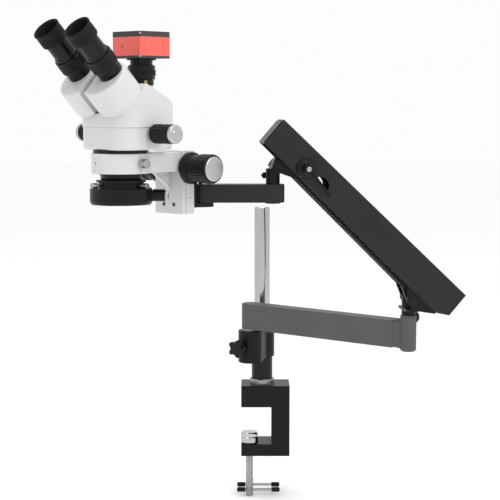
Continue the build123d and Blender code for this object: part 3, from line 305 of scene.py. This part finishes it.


# the lighter edge colours in these finishes are painted highlights along the edges
FINISHES = {
    "black_paint": dict(colour=(0.006, 0.0065, 0.0075), rough=0.36, coat=0.04, gloss=0.14, tone=0.15,
                        bump=0.25, depth=0.00015, edge_highlight=(0.09, 0.09, 0.10)),
    "dark_cover": dict(colour=(0.017, 0.0175, 0.019), rough=0.5, gloss=0.2, tone=0.12, grain=1500,
                       bump=0.35, depth=0.00012, edge_highlight=(0.08, 0.08, 0.085)),
    "grey_paint": dict(colour=(0.080, 0.082, 0.085), rough=0.5, gloss=0.3, tone=0.08, grain=1300,
                       bump=0.3, depth=0.00012, edge_highlight=(0.22, 0.22, 0.23)),
    "chrome_steel": dict(colour=(0.46, 0.46, 0.48), rough=0.14, metal=1.0, tone=0.05, rough_var=0.05,
                         grain=60, bump=0.02, depth=0.00003),
    "bright_steel": dict(colour=(0.42, 0.42, 0.44), rough=0.25, metal=1.0, tone=0.08, rough_var=0.08,
                         grain=420, bump=0.05, depth=0.00004),
    "zinc_steel": dict(colour=(0.28, 0.28, 0.29), rough=0.34, metal=1.0, tone=0.3, rough_var=0.12,
                       grain=420, bump=0.12, kind="spangle"),
    "black_anodised": dict(colour=(0.005, 0.005, 0.006), rough=0.26, coat=0.04, gloss=0.2, tone=0.12,
                           grain=1100, bump=0.12, edge_highlight=(0.10, 0.10, 0.11), edge_highlight_size=0.0004),
    "rubber_black": dict(colour=(0.007, 0.007, 0.008), rough=0.6, gloss=0.18, tone=0.14, grain=1900,
                         bump=0.45),
    "plastic_black": dict(colour=(0.005, 0.005, 0.006), rough=0.36, gloss=0.18, tone=0.12, grain=1400,
                          bump=0.25, edge_highlight=(0.05, 0.05, 0.055)),
    "white_enamel": dict(colour=(0.60, 0.61, 0.59), rough=0.30, coat=0.2, tone=0.02, rough_var=0.05,
                         grain=420, bump=0.10, depth=0.00012, cloud=5),
    "silver_anodised": dict(colour=(0.50, 0.50, 0.51), rough=0.3, metal=0.9, tone=0.05, grain=700,
                            bump=0.08, depth=0.00006),
    "red_shell": dict(colour=(0.86, 0.125, 0.095), rough=0.36, metal=0.25, coat=0.3, tone=0.06,
                      grain=1600, bump=0.2, depth=0.00008),
    "plate_grey": dict(colour=(0.050, 0.044, 0.043), rough=0.42, gloss=0.3, tone=0.1, grain=1500,
                       bump=0.18, edge_highlight=(0.2, 0.19, 0.19), edge_highlight_size=0.0004),
    "diffuser_white": dict(colour=(0.86, 0.86, 0.84), rough=0.45, tone=0.02, grain=800, bump=0.15),
    "spring_steel": dict(colour=(0.30, 0.30, 0.31), rough=0.32, metal=1.0, tone=0.12, grain=500, bump=0.1),
    "brass": dict(colour=(0.50, 0.36, 0.17), rough=0.3, metal=1.0, tone=0.1, grain=600, bump=0.1),
    "lens_glass": dict(colour=(0.16, 0.10, 0.22), rough=0.04, coat=1.0, tone=0.1, rough_var=0.01, grain=60,
                       bump=0.01),
}
M = {name: surface(name, **finish) for name, finish in FINISHES.items()}
lens_shader = M["lens_glass"].node_tree.nodes["Principled BSDF"]
lens_shader.inputs["IOR"].default_value = 1.6
lens_shader.inputs["Transmission Weight"].default_value = 0.55

# CAD nodes whose look differs from their slot's usual finish
NODE_FINISH = {
    "post": "chrome_steel",
    "post_collar": "spring_steel",
    "clamp_screw_front": "zinc_steel",
    "clamp_screw_rear": "zinc_steel",
    "lower_yoke_pins": "black_anodised",
    "head_yoke_fittings": "black_anodised",
    "mount_bracket": "black_anodised",
}
# bevel width of each CAD node with eased edges, in metres
EDGE_BEVEL = {
    "camera_plates": 0.0008,
    "camera_shell": 0.0006,
    **dict.fromkeys(("lower_yoke", "head_yoke", "mount_bracket", "spring_arm_end_caps", "tension_lever",
                     "ring_holder"), 0.0005),
    **dict.fromkeys(("post_bracket", "spring_arm_spar", "spring_arm_cover", "parallel_link",
                     "head_yoke_fittings"), 0.0004),
    **dict.fromkeys(("focus_base", "focus_carriage"), 0.0003),
}
slot_of = {row["node"]: row["material_slot"] for row in frame["record"]["subparts"]}
for node, obj in frame["nodes"].items():
    material = M[NODE_FINISH.get(node, slot_of[node])]
    if not obj.material_slots:
        obj.data.materials.append(material)
    for material_slot in obj.material_slots:
        material_slot.material = material
    if node in EDGE_BEVEL:
        bevel = obj.modifiers.new("edge", "BEVEL")
        bevel.width = EDGE_BEVEL[node]
        bevel.segments = 2
        bevel.limit_method = "ANGLE"
        bevel.angle_limit = math.radians(40)


def piece(name, bm, matrix, node, slot, replaces=True, angle=32):
    """Finished piece that rides on a CAD node's body and, unless told otherwise, stands for that node."""
    finish_mesh(name, bm, matrix, NODE_BODY[node], M[slot], (node,) if replaces else (), angle)


# ---- knobs and screws ----------------------------------------------------------------------------

STAR_LOBES = 5
star = basis(PIVOT + UP * STAR_KNOB_Z, unit(233))


def star_wave(a, r, h):
    """Lobes of the grip, which fade out towards its hub."""
    return (2.4 * math.cos(STAR_LOBES * a) - 2.2) * min(1.0, max(0.0, (r - 7) / 5)) if h > 30.5 else 0.0


star_rows = [
    (0, 8.3), (4, 8.3), (4, 20.8), (6.4, 20.8), (6.9, 21.4), (6.9, 25.8), (6.4, 26.3), (5.2, 26.4),
    (5.2, 31.0), (9, 31.0), (12.6, 31.3), (14.1, 32.2), (14.6, 33.8), (14.6, 39.0), (14.0, 40.6),
    (12.4, 41.6), (9, 42.0), (6.2, 42.0), (5.8, 41.5), (0, 41.4),
]
piece("star_knob_grip", ring_surface(star_rows, 160, star_wave), star, "star_knob", "plastic_black")

lock = basis(BOSS + UP * ELBOW_KNOB_Z, unit(72))
lock_rows = [
    (0, 8.3), (3, 8.3), (3, 22.0), (9.4, 22.0),
    *rows_between(10.4, 22.4, 33.6, 0.7, 0.7)[1:-1],
    (9.4, 34.0), (7.2, 34.0), (6.8, 33.5), (0, 33.4),
]
piece("elbow_knob_grip", ring_surface(lock_rows, 168, diamonds(28, 0.55, 2.6, 10)), lock, "arm_lock_knob",
      "plastic_black")

thumb = basis(head(0, 0, THUMB_SCREW_Z), SIDE)
thumb_rows = [
    (0, 38.3), (3, 38.3), (3, 41.5), (4.2, 41.5), (4.2, 44), (5.6, 44),
    *rows_between(6.3, 44, 53, 0.6)[1:-1],
    (5.6, 53), (3.4, 53.0), (3.1, 52.4), (0, 52.3),
]
piece("holder_screw_head", ring_surface(thumb_rows, 144, diamonds(24, 0.4, 1.9, 6)), thumb,
      "holder_thumbscrew", "bright_steel")

lamp_screw_rows = [
    (0, 24.6), (1.5, 24.6), (1.5, 35), (3.2, 35),
    *rows_between(3.8, 35, 44.5, 0.6, 0.4)[1:-1],
    (3.2, 44.5), (2.0, 44.5), (1.8, 44.0), (0, 43.9),
]
for index, turn in enumerate((13, -107, 133)):
    way = basis(head(0, 0, LAMP_SCREW_Z), unit(HEAD_YAW + turn))
    head_mesh = ring_surface(lamp_screw_rows, 120, diamonds(20, 0.3, 1.6, 3.6))
    piece(f"lamp_screw_{index + 1}", head_mesh, way, "ring_light_screws", "bright_steel")

focus_knob_rows = [
    (2.55, 28.3), (21.6, 28.3), (22.4, 29.0), (22.4, 34.3), (21.6, 35.2), (19.4, 36.8), (18.4, 38.2),
    (18.4, 51.8), (19.6, 52.7),
    *rows_between(20.4, 52.9, 73.8, 1.4, 0.7)[1:-1],
    (19.6, 74.8), (18.4, 75.5), (17.45, 75.6), (17.45, 72.8), (2.55, 72.8),
]
focus_cap_rows = [
    (2.5, 72.8), (17.4, 72.8), (17.4, 76.4), (17.1, 77.2), (16.4, 77.7), (15.6, 77.8), (0, 77.5),
    (0, 74.8), (2.5, 74.8),
]
zoom_knob_rows = [
    (0, 40), (4, 40), (4, 54.5), (9.5, 54.5), (11.8, 55.0), (13.0, 56.5), (13.2, 58.5), (13.2, 59.5),
    (13.2, 71), (13.2, 71.6), (13.2, 74.4), (13.2, 75), (13.2, 87), (13.2, 88.0), (12.6, 89.9),
    (11.4, 90.4), (0, 90.4),
]
zoom_cap_rows = [
    (0, 90.5), (12.4, 90.5), (12.6, 91.0), (12.6, 94.6), (12.1, 95.5), (11.2, 96.0), (6.5, 95.8),
    (6.0, 95.4), (5.5, 95.7), (0, 95.6),
]


def zoom_wave(a, r, h):
    """Lengthways grooves, and one groove round the middle of the grip."""
    groove = 1.1 * (0.5 + 0.5 * math.cos(18 * a)) ** 2 if 58.4 < h < 88 else 0.0
    return -max(groove, 0.9 if 71.5 < h < 74.5 else 0.0) if r > 12 else 0.0


for name, sign in (("right", 1), ("left", -1)):
    drive = basis(head(0, *FOCUS_SHAFT), SIDE * sign)
    grip = ring_surface(focus_knob_rows, 256, grooves(32, 0.4, 53.5, 73.6, 20.2))
    piece(f"focus_knob_{name}", grip, drive, "focus_knobs", "plastic_black")
    piece(f"focus_cap_{name}", ring_surface(focus_cap_rows, 128), drive, "focus_knob_caps",
          "silver_anodised")
    zoom = basis(head(0, *ZOOM_SHAFT), SIDE * sign)
    piece(f"zoom_knob_{name}", ring_surface(zoom_knob_rows, 192, zoom_wave), zoom, "zoom_knobs",
          "plastic_black")
    piece(f"zoom_cap_{name}", ring_surface(zoom_cap_rows, 128), zoom, "zoom_knob_caps", "silver_anodised")

bar_rod_rows = [(0, -33.8), (1.4, -33.8), (1.95, -33.2), (1.95, 33.2), (1.4, 33.8), (0, 33.8)]
bar_cap_rows = [
    (2.0, 21.5), (3.3, 21.5), (3.85, 22.1), (3.85, 24.0), (3.5, 24.4), (3.5, 25.0), (3.85, 25.4),
    (3.85, 32.4), (3.6, 33.6), (2.9, 34.5), (1.8, 35.0), (0, 35.0), (0, 34.2), (2.0, 34.2),
]
for name, sign in (("front", -1), ("rear", 1)):
    middle = Vector((-0.006, sign * 0.0155, -0.1395))
    piece(f"bar_rod_{name}", ring_surface(bar_rod_rows, 48), basis(middle, (1, 0, 0)),
          f"tommy_bar_{name}", "bright_steel")
    for end, outward in (("inner", -1), ("outer", 1)):
        piece(f"bar_cap_{name}_{end}", ring_surface(bar_cap_rows, 64), basis(middle, (outward, 0, 0)),
              f"tommy_bar_{name}", "rubber_black", angle=40)

# ---- eyepieces -----------------------------------------------------------------------------------

diopter_rows = [
    (14.05, 53.0), (18.3, 53.0),
    *rows_between(19.0, 53.2, 73.2, 1.0, 0.8)[1:-1],
    (18.3, 73.4), (14.05, 73.4),
]
cup_rings = [(r, h + 2.0 * step) for step in range(5)
             for r, h in ((18.7, 104.6), (18.1, 105.2), (18.1, 105.9), (18.7, 106.4))]
eyecup_rows = [
    (15.5, 100.7), (17.4, 100.7), (18.4, 101.6), (18.8, 103.4),
    *cup_rings,
    (18.3, 116.5), (18.6, 119.5), (19.2, 121.4), (19.0, 122.4), (18.3, 122.7), (17.4, 122.3),
    (16.6, 120.0), (16.0, 115.6), (14.8, 109.5), (13.6, 106.6), (12.0, 106.1), (12.0, 104.7),
    (15.5, 104.7),
]
eye_lens_rows = [(0, 101.95), (11.9, 101.95), (11.6, 102.55), (8, 103.55), (4, 104.05), (0, 104.15)]
for name, sign in (("left", 1), ("right", -1)):
    eye = eye_basis(sign)
    grip = ring_surface(diopter_rows, 288, grooves(36, 1.0, 56.0, 70.5, 18.6))
    piece(f"diopter_grip_{name}", grip, eye, f"diopter_ring_{name}", "black_anodised")
    piece(f"eyecup_fold_{name}", ring_surface(eyecup_rows, 160), eye, f"eyecup_{name}", "rubber_black",
          angle=50)
    piece(f"eye_lens_{name}", ring_surface(eye_lens_rows, 96), eye, f"eyepiece_{name}", "lens_glass",
          replaces=False, angle=60)

# ---- camera adapter ------------------------------------------------------------------------------

port = basis(head(0, PORT_REAR, 0), UP, SIDE)
adapter_rows = [
    (14.05, 528), (19.1, 528),
    *rows_between(19.7, 528, 536.5, 0.8, 0.6)[1:-1],
    (19.1, 536.5), (14.05, 536.5),
]
piece("camera_ring_grip", ring_surface(adapter_rows, 240, grooves(30, 1.1, 528.5, 536.2, 19.3)), port,
      "adapter_ring", "black_anodised")

# ---- balance springs -----------------------------------------------------------------------------

for name, side in (("near", -1), ("far", 1)):
    start = LOW_PIN + ARM_U * 0.045 + ARM_W * 0.021 - NEAR * (side * 0.009)
    piece(f"balance_spring_{name}", coil(radius=5.5, wire=1.05, length=150, turns=38),
          basis(start, ARM_U, NEAR), "balance_springs", "spring_steel", angle=60)

# ---- small screws, set in or on their faces ------------------------------------------------------


def circle(bm, radius, height, shape=lambda a: 1.0, seg=48):
    angles = [2 * math.pi * k / seg for k in range(seg)]
    return [bm.verts.new((radius * shape(a) * MM * math.cos(a), radius * shape(a) * MM * math.sin(a),
                          height * MM)) for a in angles]


def hexagon(a):
    return math.cos(math.pi / 6) / math.cos((a % (math.pi / 3)) - math.pi / 6)


def socket_screw(name, origin, axis, body, radius, proud, slot="plate_grey"):
    """Cap screw with a hexagonal socket."""
    bm = bmesh.new()
    loops = [circle(bm, r, h) for r, h in ((radius, 0.0), (radius, proud * 0.8), (radius * 0.92, proud))]
    loops += [circle(bm, radius * 0.55, h, hexagon) for h in (proud, proud * 0.25)]
    for low, high in zip(loops, loops[1:]):
        for k in range(len(low)):
            n = (k + 1) % len(low)
            bm.faces.new((low[k], low[n], high[n], high[k]))
    bm.faces.new(loops[0])
    bm.faces.new(loops[-1])
    finish_mesh(name, bm, basis(origin, axis), body, M[slot])


for index, (s, b) in enumerate(((-22.5, 17.0), (22.5, 17.0), (22.5, 62.0), (-22.5, 62.0))):
    socket_screw(f"camera_screw_{index + 1}", head(s, b, 587.7), UP, "camera", 1.7, 0.3, "bright_steel")
for index, (s, z) in enumerate(((-24, 584.3), (24, 584.3), (-24, 553.5), (24, 553.5))):
    socket_screw(f"camera_front_screw_{index + 1}", head(s, 11.0, z), -REAR, "camera", 1.3, 0.25)
for index, (b, z) in enumerate(((15.5, 584.3), (63.5, 584.3))):
    socket_screw(f"camera_side_screw_{index + 1}", head(28.5, b, z), SIDE, "camera", 1.3, 0.25)
socket_screw("camera_port_hole", head(-8, 11.0, 568), -REAR, "camera", 1.5, 0.15)
socket_screw("collar_set_screw", unit(-37) * 0.0194 + UP * 0.03925, unit(-37), "clamp", 2.2, 0.4)
socket_screw("short_arm_lock", Vector((-0.0740, -0.2664, 0.3757)), UP, "short_arm", 2.4, 0.8,
             "bright_steel")
socket_screw("tension_knob_screw", LOW_PIN + ARM_U * 0.251 + ARM_W * 0.0248 + NEAR * 0.0525, NEAR,
             "tension_lever", 3.4, 0.8, "bright_steel")

# ---- plates, seams and marks ---------------------------------------------------------------------


def tile(name, origin, normal, across, size, body, slot, material=None, bevel=0.08):
    """Thin plate of size (across, up, thick) in millimetres, with its back at origin and eased edges."""
    bm = bmesh.new()
    w, h, t = (v * MM for v in size)
    bmesh.ops.create_cube(bm, size=1.0)
    bmesh.ops.scale(bm, vec=(w, h, t), verts=bm.verts)
    bmesh.ops.translate(bm, vec=(0, 0, t / 2), verts=bm.verts)
    bmesh.ops.bevel(bm, geom=list(bm.edges), offset=bevel * MM, segments=2, affect="EDGES")
    finish_mesh(name, bm, basis(origin, normal, across), body, material or M[slot])


set_screw = unit(-68)
brass_at = head(0, PORT_REAR, 519.2) + set_screw * 0.0188
tile("adapter_screw_seat", brass_at, set_screw, set_screw.cross(UP), (4.0, 4.2, 0.25), "camera",
     "bright_steel", M["brass"])
socket_screw("adapter_screw", brass_at + set_screw * 0.00025, set_screw, "camera", 1.0, 0.2)

gear_origin = head(0, *EYE_FOOT) - EYE_UPHILL * 0.0125 + EYE_AXIS * 0.00003
tile("gear_cover", gear_origin, EYE_AXIS, SIDE, (26, 27, 0.2), "microscope", "plate_grey")

for index, z in enumerate((554.4, 585.3)):
    tile(f"camera_corner_{index + 1}", head(27.5, 12.0, z), SIDE - REAR, SIDE + REAR, (2.8, 2.6, 0.35),
         "camera", "bright_steel")
for index, b in enumerate((19.5, 54.0)):
    tile(f"camera_groove_{index + 1}", head(28.47, b, 569.9), SIDE, REAR, (0.35, 25.5, 0.07), "camera",
         "plate_grey", bevel=0.03)

socket_way = unit(-4)
nut_rows = [(6.42, 61.2), (6.9, 61.2), (6.9, 63.9), (6.5, 64.8), (3.3, 64.8), (2.8, 64.6), (2.8, 64.52),
            (6.42, 64.52)]
piece("lamp_socket_nut", ring_surface(nut_rows, 64), basis(head(0, 0, LAMP_SOCKET_Z), socket_way),
      "ring_light_socket", "bright_steel", replaces=False)
tile("lamp_socket_strap", head(0, 0, LAMP_SOCKET_Z + 7.7) + socket_way * 0.0525, UP, socket_way.cross(UP),
     (11, 17, 1.3), "ring_lamp", "black_anodised", bevel=0.5)

# the seam at the thumb screw is in two parts, above and below it
SEAMS = (("1_1", 40.45, 0.0, 396.4, 405.8), ("1_2", 40.45, 0.0, 414.2, 421.4),
         ("2_1", -10.1, -39.15, 396.4, 421.4))
for label, s, b, low, high in SEAMS:
    way = SIDE * s + REAR * b
    tile(f"holder_seam_{label}", head(s, b, (low + high) / 2), way, way.cross(UP),
         (0.45, high - low, 0.12), "carriage", "plate_grey", bevel=0.03)
tile("height_mark", head(27.97, 104.5, 358), SIDE, REAR, (9, 0.5, 0.08), "focus_mount", "plate_grey",
     bevel=0.03)

# ---- stage, lights and camera --------------------------------------------------------------------

FLOOR_GAP = 0.0004
FLOOR_HALF = 12.0


def stage_plane(name, size, matrix, colour, rough):
    bm = bmesh.new()
    bmesh.ops.create_grid(bm, x_segments=1, y_segments=1, size=size)
    mesh = bpy.data.meshes.new(name)
    bm.to_mesh(mesh)
    bm.free()
    obj = bpy.data.objects.new(name, mesh)
    obj.matrix_world = matrix
    bpy.context.scene.collection.objects.link(obj)
    mesh.materials.append(surface(name, colour, rough, tone=0.005, grain=60, bump=0.01))


stage_plane("studio_floor", FLOOR_HALF, Matrix.Translation((0, 0, cad_box[0][2] - FLOOR_GAP)),
            (0.98, 0.98, 0.98), 1.0)

world = bpy.data.worlds.new("studio")
bpy.context.scene.world = world
world.use_nodes = True
room = world.node_tree.nodes["Background"]
room.inputs["Color"].default_value = (1.0, 1.0, 1.0, 1)
room.inputs["Strength"].default_value = 0.98


def area_light(name, location, target, size, power):
    data = bpy.data.lights.new(name, "AREA")
    data.shape = "RECTANGLE"
    data.size, data.size_y = size
    data.energy = power
    obj = bpy.data.objects.new(name, data)
    obj.location = location
    obj.rotation_euler = (Vector(target) - Vector(location)).to_track_quat("-Z", "Y").to_euler()
    bpy.context.scene.collection.objects.link(obj)


area_light("key", (1.5, -1.9, 1.9), (0, -0.2, 0.3), (0.7, 1.1), 20)
area_light("fill", (-2.2, -1.6, 0.9), (-0.1, -0.2, 0.3), (1.2, 1.6), 2)
area_light("top", (-0.2, -0.1, 2.4), (0, -0.2, 0.2), (1.6, 1.6), 12)

CAMERA_AT = (-0.01967, -2.32013, 0.49697)
CAMERA_TILT = 84.0
LENS_MM = 103.68
SENSOR_MM = 36.0
camera_data = bpy.data.cameras.new("camera_view")
camera_data.lens = LENS_MM
camera_data.sensor_width = SENSOR_MM
camera_data.clip_end = 60.0
camera = bpy.data.objects.new("camera_view", camera_data)
camera.location = CAMERA_AT
camera.rotation_euler = (math.radians(CAMERA_TILT), 0, 0)
bpy.context.scene.collection.objects.link(camera)
bpy.context.scene.camera = camera
bpy.context.scene.view_settings.view_transform = "Standard"
